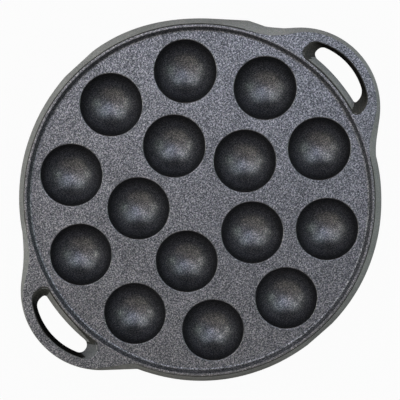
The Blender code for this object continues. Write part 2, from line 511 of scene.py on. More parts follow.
class Skin(Enum):
    """The finishes that the casting shows, each on its own places, some with painted shade or a
    painted highlight.
    """

    # Upright faces, such as the rim's inner wall, keep a quarter of the colour: painted shade.
    GRAINED = IronFinish(
        "grained_iron", dark=(0.038, 0.04, 0.048), middle=(0.156, 0.161, 0.182),
        bright=(0.48, 0.495, 0.54), contrast=1.2, upright_shade_share=0.25)
    # Brighter than the grained iron: partly a rubbed crest, partly a painted highlight on its
    # edge; its upright sides keep half the colour as painted shade.
    CREST = IronFinish(
        "rubbed_crest_painted_highlight", dark=(0.06, 0.06, 0.068), middle=(0.17, 0.17, 0.185),
        bright=(0.55, 0.55, 0.58), upright_shade_share=0.5)
    # Darker than the deck: partly smoother seasoned iron, partly painted shade in the wells; its
    # steep faces keep less colour as painted shade.
    BOWL = IronFinish(
        "seasoned_bowl", dark=(0.055, 0.058, 0.065), middle=(0.12, 0.123, 0.134),
        bright=(0.315, 0.32, 0.34), contrast=1.2, grain=0.85 * MM, metallic=0.97,
        gloss_from=0.31, gloss_to=0.4, relief=0.08 * MM, relief_strength=0.75,
        upright_shade_share=0.6)
    FLANK = IronFinish(
        "smooth_flank", dark=(0.195, 0.198, 0.198), middle=(0.265, 0.271, 0.27),
        bright=(0.35, 0.356, 0.355), contrast=0.9, metallic=0.0, specular=0.0,
        gloss_from=0.5, gloss_to=0.6, relief=0.06 * MM, relief_strength=0.6)
    SCOOP = IronFinish(
        "pale_scoop", dark=(0.1, 0.104, 0.108), middle=(0.138, 0.144, 0.15),
        bright=(0.185, 0.192, 0.2), metallic=0.0, specular=0.0, gloss_from=0.6,
        gloss_to=0.7, relief=0.08 * MM, relief_strength=0.6)
    # Painted shade: a dark, unreflecting sheet on the slot walls and on the step just outside
    # the crest.
    WALL = IronFinish(
        "painted_shade_wall", dark=(0.038, 0.039, 0.037), middle=(0.056, 0.056, 0.053),
        bright=(0.085, 0.084, 0.08), metallic=0.0, specular=0.0, gloss_from=0.6,
        gloss_to=0.75, relief=0.06 * MM, relief_strength=0.5, upright_shade_share=0.06)
    UNDERSIDE = IronFinish(
        "underside_iron", dark=(0.035, 0.035, 0.038), middle=(0.075, 0.075, 0.08),
        bright=(0.14, 0.14, 0.145), metallic=0.6, gloss_from=0.5, gloss_to=0.7)


class Paintbox:
    """Makes each finish once and hands out the same material after that."""

    def __init__(self) -> None:
        """Start with no material made."""
        self._made: dict[Skin, bpy.types.Material] = {}

    def material(self, skin: Skin) -> bpy.types.Material:
        """Give the material of a skin, built on first use.

        Args:
            skin: The skin.

        Returns:
            Its material.
        """
        if skin not in self._made:
            self._made[skin] = skin.value.material()
        return self._made[skin]

    def paint(self, obj: bpy.types.Object, choose: Callable[[Vector, Vector], Skin]) -> None:
        """Give each face of a piece its skin.

        Args:
            obj: The piece.
            choose: Names the skin from a face's centre and normal.
        """
        chosen = [choose(face.center, face.normal) for face in obj.data.polygons]
        shown = set(chosen)
        skins = [skin for skin in Skin if skin in shown]
        obj.data.materials.clear()
        for skin in skins:
            obj.data.materials.append(self.material(skin))
        for face, skin in zip(obj.data.polygons, chosen):
            face.material_index = skins.index(skin)


# The casting's forms


ON_AXIS = 0.2 * MM      # a point this near to a well's axis lies at its bowl's bottom
NECK_GAP = 0.3 * MM     # below the deck, down to the shoulder of a cup's neck
JOINT_INSET = 1.5 * MM  # from the floor's edge to the joint of deck and rim
DECK_UNDERSIDE_BELOW = -0.5     # upward part of the normal


@dataclass(frozen=True)
class CastingForm:
    """Sizes and places of the casting, worked out from the frame, in metres."""

    floor_radius: float
    deck_top: float
    deck_bottom: float
    rim_outer: float
    rim_foot: float
    crest_top: float
    handle_reach: float
    handle_bottom: float
    bowl_radius: float
    dome_radius: float
    wells: dict[str, Point]

    @classmethod
    def from_frame(cls) -> "CastingForm":
        """Read the sizes from the boxes of the frame's nodes.

        Returns:
            The casting's sizes.
        """
        deck_low, deck_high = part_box("cooking_deck")
        rim_low, rim_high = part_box("rim_ring")
        handle_low, handle_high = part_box("handle_right")
        wells = {}
        for name in sorted(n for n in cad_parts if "_well_" in n):
            low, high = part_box(name)
            wells[name] = ((low.x + high.x) / 2, (low.y + high.y) / 2)
        first, (x, y) = next(iter(wells.items()))
        axis = Vector((x, y))
        inside = [v.co.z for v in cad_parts[first].data.vertices
                  if (v.co.xy - axis).length < ON_AXIS]
        shoulder = (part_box(first)[1].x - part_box(first)[0].x) / 2
        below = deck_high.z - deck_low.z + NECK_GAP
        return cls(floor_radius=deck_high.x, deck_top=deck_high.z, deck_bottom=deck_low.z,
                   rim_outer=rim_high.x, rim_foot=rim_low.z, crest_top=rim_high.z,
                   handle_reach=handle_high.x, handle_bottom=handle_low.z,
                   bowl_radius=deck_high.z - max(inside),
                   dome_radius=math.hypot(shoulder, below), wells=wells)

    @property
    def joint_radius(self) -> float:
        """Radius at which the deck's plate passes into the rim."""
        return self.floor_radius - JOINT_INSET


@dataclass
class CookingDeck:
    """Flat round plate between the rim and the wells' lips."""

    form: CastingForm
    rim_sides: int
    lip_radius: float
    lip_sides: int
    overrun: float = 3 * MM

    def build(self) -> bpy.types.Object:
        """Cut the wells' openings out of a round plate.

        Returns:
            The deck.
        """
        form = self.form
        deselect_all()
        bpy.ops.mesh.primitive_cylinder_add(
            vertices=self.rim_sides, radius=form.joint_radius,
            depth=form.deck_top - form.deck_bottom,
            location=(0, 0, (form.deck_top + form.deck_bottom) / 2))
        deck = bpy.context.object
        deck.name = deck.data.name = "deck_plate"
        bpy.ops.object.transform_apply(location=True, rotation=True, scale=True)
        cut_away(deck, self._openings())
        smooth(deck)
        return deck

    def _openings(self) -> bpy.types.Object:
        """Make one cutter of all the wells' openings.

        Returns:
            The cutter.
        """
        form = self.form
        deselect_all()
        drills = []
        for x, y in form.wells.values():
            bpy.ops.mesh.primitive_cylinder_add(
                vertices=self.lip_sides, radius=self.lip_radius,
                depth=form.deck_top - form.deck_bottom + 2 * self.overrun,
                location=(x, y, (form.deck_top + form.deck_bottom) / 2))
            drills.append(bpy.context.object)
        for drill in drills:
            drill.select_set(True)
        bpy.ops.object.join()
        bpy.ops.object.transform_apply(location=True, rotation=True, scale=True)
        return bpy.context.object

    @staticmethod
    def skin(centre: Vector, normal: Vector) -> Skin:
        """Grain on top, rougher iron below."""
        return Skin.UNDERSIDE if normal.z < DECK_UNDERSIDE_BELOW else Skin.GRAINED


@dataclass
class WellCup:
    """One well: a bowl with a rounded lip, inside a round cup that stands on a ground tip."""

    form: CastingForm
    sides: int = 128
    lip_round: float = 0.8 * MM
    lip_land: float = 0.216 * MM    # flat ring round the lip, level with the deck
    root_round: float = 1.5 * MM    # hollow corner between cup and deck, below
    unevenness: float = 0.07 * MM   # of the dome, and the bowl's lower part
    wave: float = 9 * MM
    settling: float = 4 * MM        # below the deck's underside, over which it sets in
    ground_tip: float = 0.05 * MM   # the tip up to here is flat
    first_seed: float = 1.3
    next_seed: float = 3.7
    bowl_start: float = math.radians(1)     # of the small flat at the bowl's bottom
    bowl_share: float = 0.6         # of the lip's rounding, skinned like the bowl
    upright: float = 0.02           # upward part of the normal up to which a face is upright
    bowl_steps: int = 26
    dome_steps: int = 16
    round_steps: int = 5

    @property
    def lip_radius(self) -> float:
        """Radius at which the well passes into the deck's plate."""
        return self._wall_radius() + self.lip_round + self.lip_land

    def _wall_radius(self) -> float:
        """Radius of the bowl where its lip begins to round over."""
        return math.sqrt(self.form.bowl_radius ** 2 - self.lip_round ** 2)

    def _section(self) -> list[Point]:
        """Trace the section from the bowl's bottom over the lip and down the dome.

        Returns:
            Radius and height of each point.
        """
        form = self.form
        end = math.acos(self.lip_round / form.bowl_radius)
        bowl = [(form.bowl_radius * math.sin(a), form.deck_top - form.bowl_radius * math.cos(a))
                for a in np.linspace(self.bowl_start, end, self.bowl_steps)]
        wall = self._wall_radius()
        lip = arc((wall + self.lip_round, form.deck_top - self.lip_round), self.lip_round,
                  math.pi, math.pi / 2, self.round_steps)
        land = [(self.lip_radius, form.deck_top), (self.lip_radius, form.deck_bottom)]
        drop = form.deck_top - form.deck_bottom + self.root_round
        spread = form.dome_radius + self.root_round
        out = math.sqrt(spread ** 2 - drop ** 2)
        root = arc((out, form.deck_bottom - self.root_round), self.root_round,
                   math.pi / 2, math.pi - math.atan2(drop, out), self.round_steps)
        dome = [(form.dome_radius * math.sin(b), form.deck_top - form.dome_radius * math.cos(b))
                for b in np.linspace(math.acos(drop / spread),
                                     math.acos(form.deck_top / form.dome_radius),
                                     self.dome_steps)]
        return bowl + lip[1:] + land + root + dome[1:]

    def build_all(self) -> dict[str, bpy.types.Object]:
        """Model one cup and copy it to every well, each a little uneven in its own way.

        Returns:
            The cups, by the names of the wells' nodes.
        """
        first = ring_stack("cup", self.sides, self._section(), closed=False)
        cups = {}
        for i, (name, (x, y)) in enumerate(self.form.wells.items()):
            cup = copy_of(first, name.replace("well", "bowl"))
            points = points_of(cup)
            out = points - np.array((0, 0, self.form.deck_top))
            reach = np.linalg.norm(out, axis=1, keepdims=True)
            level = ease((self.form.deck_bottom - points[:, 2]) / self.settling)
            seed = self.next_seed * i + self.first_seed
            shift = waves(points, self.wave, seed) * self.unevenness * level
            shift[points[:, 2] < self.ground_tip] = 0
            points += out / reach * shift[:, None]
            points[:, 0] += x
            points[:, 1] += y
            set_points(cup, points)
            smooth(cup)
            cups[name] = cup
        bpy.data.objects.remove(first)
        return cups

    def skin_of(self, x: float, y: float) -> Callable[[Vector, Vector], Skin]:
        """Give the rule that skins the cup at a place: bowl, land and underside.

        Args:
            x: The cup's place along X.
            y: Its place along Y.

        Returns:
            The rule, for a face's centre and normal.
        """
        inside = self.form.bowl_radius + self.bowl_share * self.lip_round

        def choose(centre: Vector, normal: Vector) -> Skin:
            """Tell a face's skin by its place.

            Args:
                centre: The face's centre.
                normal: Its normal.

            Returns:
                The skin.
            """
            reach = math.hypot(centre.x - x, centre.y - y)
            upright = abs(normal.z) < self.upright
            if normal.z < -self.upright or (upright and reach > inside):
                return Skin.UNDERSIDE
            return Skin.GRAINED if reach > inside else Skin.BOWL

        return choose


class Follow(Enum):
    """How a level of the rim's section changes where a handle grows out of it."""

    RIM = "the same all round"
    HANDLE = "runs out to the handle's side"
    ROOT = "turns under the handle"


@dataclass(frozen=True)
class Level:
    """One level of the section of rim and handle."""

    radius: float
    height: float
    follow: Follow = Follow.RIM
    side_share: float = 0.0     # of the slope of the handle's side, 1 at its top edge
    further: float = 0.0        # in from the handle's outline, or out from the flank below it
    handle_height: float = 0.0
    swell: float = 0.0          # how far it follows the outline's unevenness
    oval: float = 0.0           # how far it follows the crest's


@dataclass(frozen=True)
class Swell:
    """A place where the cast flank stands a little proud of a true circle, or short of it."""

    bearing: float      # in degrees from +X
    spread: float       # in degrees
    height: float


def swelling(places: Sequence[Swell], angle: np.ndarray) -> np.ndarray:
    """Add up swells at each angle round the pan.

    Args:
        places: The swells.
        angle: The angles, in radians from +X.

    Returns:
        How far the form stands out at each angle.
    """
    total = np.zeros_like(angle)
    for place in places:
        away = np.angle(np.exp(1j * (angle - math.radians(place.bearing))))
        total += place.height * np.exp(-(away / math.radians(place.spread)) ** 2)
    return total


@dataclass(frozen=True)
class SlotEnd:
    """One end of a finger slot, a scoop that slopes down from the loop's flat top."""

    half: float                 # from the slot's middle to its end, at the top
    run: float                  # how far the end slopes in on its way down
    corner: float               # corner on the bar's side, at the top
    low_corner: float
    inner_corner: float         # corner on the rim's side, at the top
    low_inner_corner: float
    lip: float                  # how far the top edge is rounded away
    pale: bool = False          # its slope is left out of the other walls' painted shade


@dataclass(frozen=True)
class FingerSlot:
    """The opening inside a loop."""

    radius: float       # of the wall on the bar's side, at the top
    shift: float        # of that wall's centre, anticlockwise
    run: float          # how far that wall leans in on its way down
    foot: float         # how far the rim's flank stands out at the bottom
    first: SlotEnd      # the anticlockwise end
    second: SlotEnd


RIGHT_SLOT = FingerSlot(
    radius=44.1 * MM, shift=1.8 * MM, run=1.2 * MM, foot=0.95 * MM,
    first=SlotEnd(half=28.7 * MM, run=6.3 * MM, corner=6.5 * MM, low_corner=4.5 * MM,
                  inner_corner=5.5 * MM, low_inner_corner=4.2 * MM, lip=0.7 * MM),
    second=SlotEnd(half=26.6 * MM, run=6.2 * MM, corner=12.5 * MM, low_corner=8.5 * MM,
                   inner_corner=3.8 * MM, low_inner_corner=1.5 * MM, lip=0.6 * MM))
LEFT_SLOT = FingerSlot(
    radius=44.9 * MM, shift=0.8 * MM, run=0.8 * MM, foot=1.3 * MM,
    first=SlotEnd(half=28.4 * MM, run=5.5 * MM, corner=8 * MM, low_corner=4.5 * MM,
                  inner_corner=6.5 * MM, low_inner_corner=5.1 * MM, lip=1.2 * MM, pale=True),
    second=SlotEnd(half=28.4 * MM, run=5 * MM, corner=8 * MM, low_corner=7 * MM,
                   inner_corner=5 * MM, low_inner_corner=2.2 * MM, lip=1.5 * MM))


@dataclass(frozen=True)
class LoopHandle:
    """One of the two loops: its side's slope, how softly it grows out of the rim, its slot."""

    name: str
    node: str
    facing: int                 # 1 towards +X, -1 towards -X
    skew: float                 # how far it sits out of true, anticlockwise
    shrink: float               # how much nearer its bar sits than the frame's reach
    side_run: float             # slope of its side along the bar
    root_run: float             # and where it meets the rim
    first_soft: float           # root on the anticlockwise side
    second_soft: float
    slot: FingerSlot


@dataclass
class RimAndHandles:
    """Raised rim with its sloping flank, the two loops that grow out of it and the gate stub."""

    form: CastingForm
    sides: int = 720
    lean: float = 1.7 * MM              # of the inner wall
    fillet: float = 1.4 * MM            # between deck and inner wall
    fillet_points: int = 6
    crest_width: float = 1.6 * MM
    inside_edge: Profile = (            # from the crest's inner edge
        (-0.8, -2.1), (-0.13, -0.33), (0.06, -0.08), (0.35, 0.0))
    outside_edge: Profile = (           # from its outer edge
        (-0.35, 0.0), (-0.11, -0.1), (0.0, -0.35), (0.1, -0.8))
    step_run: float = 0.4 * MM
    step_depth: float = 0.95 * MM       # of the small step outside the crest
    flank_bulge: float = 0.25 * MM
    flank_depths: Sequence[float] = (1.7 * MM, 3 * MM, 4.8 * MM)    # of its upper levels
    free_flank: float = 1.3 * MM        # below the bar, where the flank runs free of it
    edge_round: float = 0.9 * MM        # under the flank
    foot_outside: Profile = ((-0.14, 0.45), (-0.45, 0.12))      # from the flank's foot
    foot_width: float = 3.4 * MM
    foot_inside: Profile = (            # from the inner edge of the foot's ring
        (0.0, 0.0), (-0.4, 0.12), (-0.7, 0.5), (-1.3, 1.7))
    plate_root: Profile = ((-2.2, -0.2), (-3.4, 0.0))   # above it, from the plate's underside
    loop_radius: float = 53.5 * MM
    loop_sweep: float = math.radians(50)
    root_from: float = math.radians(12)     # where a loop's side begins to slope more
    root_spread: float = math.radians(14)   # and how much further on it slopes as at its root
    bar_round: float = 1.8 * MM
    bar_foot: Sequence[Sequence[float]] = (     # down the flank, in on the bar, above its foot
        (0.7 * MM, 0.35 * MM, 0.8 * MM), (1.2 * MM, 1.05 * MM, 0.2 * MM),
        (1.7 * MM, 1.8 * MM, 0.0))
    root_fold: Sequence[Sequence[float]] = (    # below the bar, out from the flank, sunk in
        (0.5 * MM, 1.5 * MM, 0.0), (0.8 * MM, 0.45 * MM, 0.3 * MM))
    top_round: float = 0.5 * MM
    top_edge: Sequence[Sequence[float]] = (     # share of the side's slope, further in, down
        (1.0, 0.15 * MM, 0.15 * MM), (1.0, 0.0, 0.5 * MM), (0.96, 0.0, 0.75 * MM))
    stub_long_face: float = math.radians(44.3)      # where the stub's long face leaves the rim
    stub_ground_face: float = math.radians(28.8)    # which way its ground face looks
    stub_reach: float = 2.2 * MM                    # ground face beyond the rim's flank
    stub_fades: float = math.radians(20)            # lost in the handle from here on
    stub_softness: float = math.radians(4)
    box_from: float = math.radians(30)      # off the handles' line, where the box limits swells
    swells: tuple[Swell, ...] = (
        Swell(78, 20, 0.9 * MM), Swell(233, 30, 1.15 * MM), Swell(292, 20, 0.6 * MM),
        Swell(52, 11, -0.45 * MM), Swell(140, 28, -0.3 * MM),
    )
    crest_swells: tuple[Swell, ...] = (
        Swell(58, 42, 0.5 * MM), Swell(228, 38, 0.5 * MM), Swell(140, 25, -0.2 * MM),
        Swell(5, 13, 0.5 * MM), Swell(95, 25, 0.25 * MM), Swell(168, 22, -0.5 * MM),
        Swell(200, 12, -0.25 * MM), Swell(317, 22, -0.5 * MM),
    )
    swell_below: float = 1 * MM         # the crest, where the flank's own swells set in
    swell_run: float = 4.5 * MM         # and down to where they are whole
    crest_blend: float = 4 * MM         # from the crest, how far its swells carry into a slot
    unevenness: float = 0.16 * MM
    settling: float = 3 * MM            # out from the crest's inner edge, over which it sets in
    wave: float = 22 * MM
    seed: float = 5.1
    seam_gap: float = 0.3 * MM          # from the rim's flank to the loops' seam
    handles: tuple[LoopHandle, ...] = (
        LoopHandle("loop_right", "handle_right", facing=1, skew=math.radians(0.9),
                   shrink=0.5 * MM, side_run=3.0 * MM, root_run=5.6 * MM, first_soft=7 * MM,
                   second_soft=5 * MM, slot=RIGHT_SLOT),
        LoopHandle("loop_left", "handle_left", facing=-1, skew=math.radians(0.3),
                   shrink=0.0, side_run=2.2 * MM, root_run=5.4 * MM, first_soft=1.5 * MM,
                   second_soft=8 * MM, slot=LEFT_SLOT),
    )

    @property
    def crest_inner(self) -> float:
        """Radius of the crest's inner edge."""
        return self.form.floor_radius + self.lean

    @property
    def crest_outer(self) -> float:
        """Radius of the crest's outer edge."""
        return self.crest_inner + self.crest_width

    @property
    def loop_centre(self) -> float:
        """Distance of the loop's centre from the pan's."""
        return self.form.handle_reach - self.loop_radius

    def flank(self, height: float | np.ndarray) -> float | np.ndarray:
        """Radius of the rim's outer flank at a height.

        Args:
            height: The height, or many of them.

        Returns:
            The radius, or many of them.
        """
        top = self.crest_outer + self.step_run
        high = self.form.crest_top - self.step_depth
        low = self.form.rim_foot + self.edge_round
        share = (high - height) / (high - low)
        bulge = self.flank_bulge * 4 * share * (1 - share)
        return top + (self.form.rim_outer - top) * share + bulge

    def outer_step(self) -> list[Point]:
        """Trace the crest's outer edge and the small step outside it, from the top down.

        Returns:
            Radius and height of each point.
        """
        top = self.form.crest_top
        return (placed(self.outside_edge, self.crest_outer, top)
                + [(self.crest_outer + self.step_run, top - self.step_depth)])

    def levels(self) -> list[Level]:
        """List the section from the deck's plate over the crest, down the flank and back.

        Returns:
            The levels, in order round the section.
        """
        return (self._crest_levels() + self._edge_levels() + self._flank_levels()
                + self._bar_foot_levels() + self._foot_levels())

    def _crest_levels(self) -> list[Level]:
        """List the levels from the deck's plate up the inner wall and over the crest.

        Returns:
            The levels, in order.
        """
        form = self.form
        joint, deck = form.joint_radius, form.deck_top
        wall = math.atan2(form.crest_top - deck, self.lean)
        start = form.floor_radius - self.fillet * math.tan(wall / 2)
        crest = [(start + self.fillet * math.sin(a), deck + self.fillet * (1 - math.cos(a)))
                 for a in np.linspace(0, wall, self.fillet_points)]
        crest += placed(self.inside_edge, self.crest_inner, form.crest_top)
        crest += self.outer_step()[:1]
        return ([Level(joint, form.deck_bottom), Level(joint, deck)]
                + [Level(r, z, oval=1) for r, z in crest])

    def _edge_levels(self) -> list[Level]:
        """List the levels of the step outside the crest, which is the loops' top edge.

        Returns:
            The levels, in order.
        """
        edge = ((1.0, self.top_round, 0.0), *self.top_edge)
        return [Level(r, z, Follow.HANDLE, side_share=share, further=further,
                      handle_height=self.form.crest_top - down, oval=1)
                for (r, z), (share, further, down) in zip(self.outer_step()[1:], edge)]

    def _flank_levels(self) -> list[Level]:
        """List the levels down the flank, which run out to the sides of the loops.

        Returns:
            The levels, in order.
        """
        top = self.form.crest_top
        low = self.form.handle_bottom + self.bar_round
        high = top - self.top_round
        made = []
        for height in [top - depth for depth in self.flank_depths] + [low]:
            share = (height - low) / (high - low)
            swell = float(ease((top - self.swell_below - height) / self.swell_run))
            made.append(Level(self.flank(height), height, Follow.HANDLE, side_share=share,
                              handle_height=height, swell=swell, oval=1 - swell))
        return made

    def _bar_foot_levels(self) -> list[Level]:
        """List the levels that turn under the loops, and back to the flank.

        Returns:
            The levels, in order.
        """
        bottom = self.form.handle_bottom
        low = bottom + self.bar_round
        rows = [(low - down, Follow.HANDLE, inset, bottom + left)
                for down, inset, left in self.bar_foot]
        rows += [(bottom - down, Follow.ROOT, beside, bottom - sunk)
                 for down, beside, sunk in self.root_fold]
        return [Level(self.flank(height), height, follow, further=further,
                      handle_height=handle_height, swell=1)
                for height, follow, further, handle_height in rows]

    def _foot_levels(self) -> list[Level]:
        """List the levels from the free flank round the rim's foot and back to the plate.

        Returns:
            The levels, in order.
        """
        form = self.form
        foot, reach = form.rim_foot, form.rim_outer
        free = form.handle_bottom - self.free_flank
        flank = [(self.flank(free), free), (reach, foot + self.edge_round)]
        flank += placed(self.foot_outside, reach, foot) + [(reach - self.edge_round, foot)]
        inner = reach - self.edge_round - self.foot_width
        inside = placed(self.foot_inside, inner, foot)
        inside += placed(self.plate_root, inner, form.deck_bottom)
        return [Level(r, z, swell=1) for r, z in flank] + [Level(r, z) for r, z in inside]

    def loop_plan(self, turn: np.ndarray) -> tuple[np.ndarray, np.ndarray]:
        """Outline of a loop as seen from the pan's centre.

        Args:
            turn: Angles from the loop's own direction, in radians, without sign.

        Returns:
            The outline's radius, and the cosine between its normal and the ray to it.
        """
        centre, radius, sweep = self.loop_centre, self.loop_radius, self.loop_sweep
        end = math.atan2(radius * math.sin(sweep), centre + radius * math.cos(sweep))
        bowed = np.minimum(turn, end)
        along = centre * np.cos(bowed) + np.sqrt(radius ** 2 - (centre * np.sin(bowed)) ** 2)
        tilt = np.arcsin(centre * np.sin(bowed) / radius)
        past = np.clip(sweep - turn, 0, None)
        line = (centre * math.cos(sweep) + radius) / np.cos(past)
        return (np.where(turn <= end, along, line),
                np.cos(np.where(turn <= end, tilt, past)))

    def build(self) -> tuple[bpy.types.Object, dict[str, bpy.types.Object]]:
        """Model rim and loops in one, open the slots, then part them at hidden seams.

        Returns:
            The rim, and the loops by name.
        """
        ring = ring_stack("rim", self.sides, [(lv.radius, lv.height) for lv in self.levels()],
                          closed=True)
        self._grow_handles(ring)
        cutter = SlotCutter(self)
        for handle in self.handles:
            cut_away(ring, cutter.model(handle))
        seam = self.form.rim_outer + self.seam_gap
        loops = {}
        for handle in self.handles:
            loop = copy_of(ring, handle.name)
            keep_side(loop, (handle.facing * seam, 0, 0), (-handle.facing, 0, 0))
            smooth(loop)
            loops[handle.name] = loop
        for handle in self.handles:
            keep_side(ring, (handle.facing * seam, 0, 0), (handle.facing, 0, 0))
        smooth(ring)
        return ring, loops

    def _grow_handles(self, ring: bpy.types.Object) -> None:
        """Move the round ring's points out to the loops, the stub and the casting's waves.

        Args:
            ring: The turned rim.
        """
        levels = self.levels()
        points = points_of(ring)
        radius = np.hypot(points[:, 0], points[:, 1])
        angle = np.arctan2(points[:, 1], points[:, 0])
        table = np.array([(lv.radius, lv.height) for lv in levels])
        nearest = np.argmin((radius[:, None] - table[None, :, 0]) ** 2
                            + (points[:, 2][:, None] - table[None, :, 1]) ** 2, axis=1)
        for index, level in enumerate(levels):
            mine = nearest == index
            r, z = self._place(level, angle[mine])
            points[mine, 0] = r * np.cos(angle[mine])
            points[mine, 1] = r * np.sin(angle[mine])
            points[mine, 2] = z
        radius = np.hypot(points[:, 0], points[:, 1])
        loose = ease((radius - self.crest_inner) / self.settling)
        drop = (1 + waves(points, self.wave, self.seed)) / 2 * self.unevenness * loose
        points[:, :2] *= (1 - drop / radius)[:, None]
        set_points(ring, points)

    def _place(self, level: Level, angle: np.ndarray) -> tuple[np.ndarray, np.ndarray]:
        """Radius and height of one level at each angle round the pan.

        Args:
            level: The level.
            angle: The angles, in radians from +X.

        Returns:
            The radii and the heights.
        """
        r = (level.radius + level.swell * self._outline_swell(angle)
             + level.oval * swelling(self.crest_swells, angle))
        z = np.full_like(angle, level.height)
        if level.follow is Follow.RIM:
            return r, z
        for handle in self.handles:
            own = 0.0 if handle.facing > 0 else math.pi
            turn = np.angle(np.exp(1j * (angle - own - handle.skew)))
            soft = np.where(turn > 0, handle.first_soft, handle.second_soft)
            outline, slant = self.loop_plan(np.abs(turn))
            outline = outline - handle.shrink
            run = handle.side_run + (handle.root_run - handle.side_run) * ease(
                (np.abs(turn) - self.root_from) / self.root_spread)
            if level.follow is Follow.HANDLE:
                reach = outline - (level.side_share * run + level.further) / slant
                grown = ease((reach - r + soft) / (2 * soft))
                r = np.where(np.abs(turn) < math.pi / 2, soft_max(r, reach, soft), r)
            else:
                base = self.flank(self.form.handle_bottom) + level.further
                reach = outline - self.bar_round / slant - base
                grown = ease((reach + soft / 2) / soft)
                r = r + (base - r) * grown
            grown = np.where(np.abs(turn) < math.pi / 2, grown, 0)
            z = z + (level.handle_height - z) * grown
        return r, z

    def _outline_swell(self, angle: np.ndarray) -> np.ndarray:
        """How far the flank stands beyond a true circle at each angle round the pan.

        Args:
            angle: The angles, in radians from +X.

        Returns:
            The distances.
        """
        swell = swelling(self.swells, angle)
        rim = self.form.rim_outer
        turn = np.clip(angle, self.stub_fades, self.stub_long_face)
        long_face = rim / np.cos(turn - self.stub_long_face) - rim
        ground_face = (rim + self.stub_reach) / np.cos(turn - self.stub_ground_face) - rim
        stub = np.minimum(long_face, ground_face)
        swell += stub * ease((angle - self.stub_fades) / self.stub_softness)
        sideways = np.clip(np.abs(np.sin(angle)), math.sin(self.box_from), None)
        return np.minimum(swell, rim / sideways - rim)


@dataclass
class SlotCutter:
    """Makes the forms that open the finger slots, each a stack of plans."""

    rim: RimAndHandles
    lip_depth: float = 1.6 * MM     # how deep the rounding of a slot's end goes
    overrun: float = 0.6 * MM       # above the crest
    underrun: float = 0.9 * MM      # below the bar
    lip_rows: Sequence[float] = (0, 0.1, 0.22, 0.35, 0.5, 0.8, 0.95, 1.3)   # depths, in mm
    wall_reach: Point = (1.7 * MM, 6.7 * MM)    # depths between which the rows are even
    wall_rows: int = 14             # so many that the lower edge of the step's painted shade is smooth
    foot_depth: float = 7.6 * MM    # of the last row above the bar's underside
    side_steps: int = 24
    corner_steps: int = 14
    inner_corner_steps: int = 12

    def model(self, handle: LoopHandle) -> bpy.types.Object:
        """Model the form of one finger slot, to be cut out.

        Args:
            handle: The loop that has the slot.

        Returns:
            The closed cutter.
        """
        top, bottom = self.rim.form.crest_top, self.rim.form.handle_bottom
        heights = [top + self.overrun] + [top - depth * MM for depth in self.lip_rows]
        wall_top, wall_low = (top - depth for depth in self.wall_reach)
        heights += list(np.linspace(wall_top, wall_low, self.wall_rows))
        heights += [top - self.foot_depth, bottom, bottom - self.underrun]
        plans = []
        for height in heights:
            plan = np.array(self._plan(handle.slot, min(height, top))) * handle.facing
            reach = np.hypot(plan[:, 0], plan[:, 1])
            swell = swelling(self.rim.crest_swells, np.arctan2(plan[:, 1], plan[:, 0]))
            near = ease(1 - (reach - reach.min()) / self.rim.crest_blend)
            plans.append((plan * (1 + swell * near / reach)[:, None]).tolist())
        return loft("finger_slot", plans, heights)

    def _plan(self, slot: FingerSlot, height: float) -> list[Point]:
        """Plan of a finger slot at a height, for a loop that faces +X.

        Args:
            slot: The slot.
            height: The height.

        Returns:
            The closed plan, anticlockwise half first.
        """
        rim = self.rim
        depth = rim.form.crest_top - rim.form.handle_bottom
        below = rim.form.crest_top - height
        drop = min(1.0, below / depth)
        radius = (slot.radius - slot.run * drop
                  + rim.top_round * max(0.0, 1 - below / rim.top_round) ** 2)
        lower = max(0.0, below - rim.step_depth) / (depth - rim.step_depth)
        inner = self._inner(height) + slot.foot * min(1.0, lower)
        lip = max(0.0, 1 - below / self.lip_depth) ** 2
        first = self._side(slot.first, slot.shift, radius, inner, drop, lip)
        second = self._side(slot.second, -slot.shift, radius, inner, drop, lip)
        return first + [(inner, 0.0)] + [(x, -y) for x, y in reversed(second[1:])]

    def _side(self, end: SlotEnd, shift: float, radius: float, inner: float,
              drop: float, lip: float) -> list[Point]:
        """Trace half of a slot's plan, from the bar round one end and back along the rim.

        Args:
            end: The slot's end on this side.
            shift: How far the centre of the bar's side lies towards this end.
            radius: Radius of the wall on the bar's side.
            inner: Radius of the rim's flank.
            drop: Share of the way down.
            lip: How far the rounding of the top edge has come, 1 at the top.

        Returns:
            The points, without the last one in the slot's middle.
        """
        half = end.half - end.run * drop + end.lip * lip
        corner = end.corner + (end.low_corner - end.corner) * drop
        small = end.inner_corner + (end.low_inner_corner - end.inner_corner) * drop
        side = half - corner - shift
        along = math.sqrt((radius - corner) ** 2 - side ** 2)
        bend = math.atan2(side, along)
        hug_y = half - small
        hug_x = math.sqrt((inner + small) ** 2 - hug_y ** 2)
        tip = math.atan2(hug_y, hug_x)
        centre = self.rim.loop_centre
        outermost = math.pi / 2
        plan = arc((centre, shift), radius, 0, bend, self.side_steps)
        plan += arc((centre + along, half - corner), corner, bend, outermost,
                    self.corner_steps)[1:]
        plan += arc((hug_x, hug_y), small, outermost, math.pi + tip, self.inner_corner_steps)
        return plan + arc((0, 0), inner, tip, 0, self.side_steps)[1:-1]

    def _inner(self, height: float) -> float:
        """Radius of the rim's outside at a height, which the slot lays bare.

        Args:
            height: The height.

        Returns:
            The radius.
        """
        step = self.rim.outer_step()[::-1]
        if height >= step[0][1]:
            return float(np.interp(height, [z for _, z in step], [r for r, _ in step]))
        return float(self.rim.flank(height))


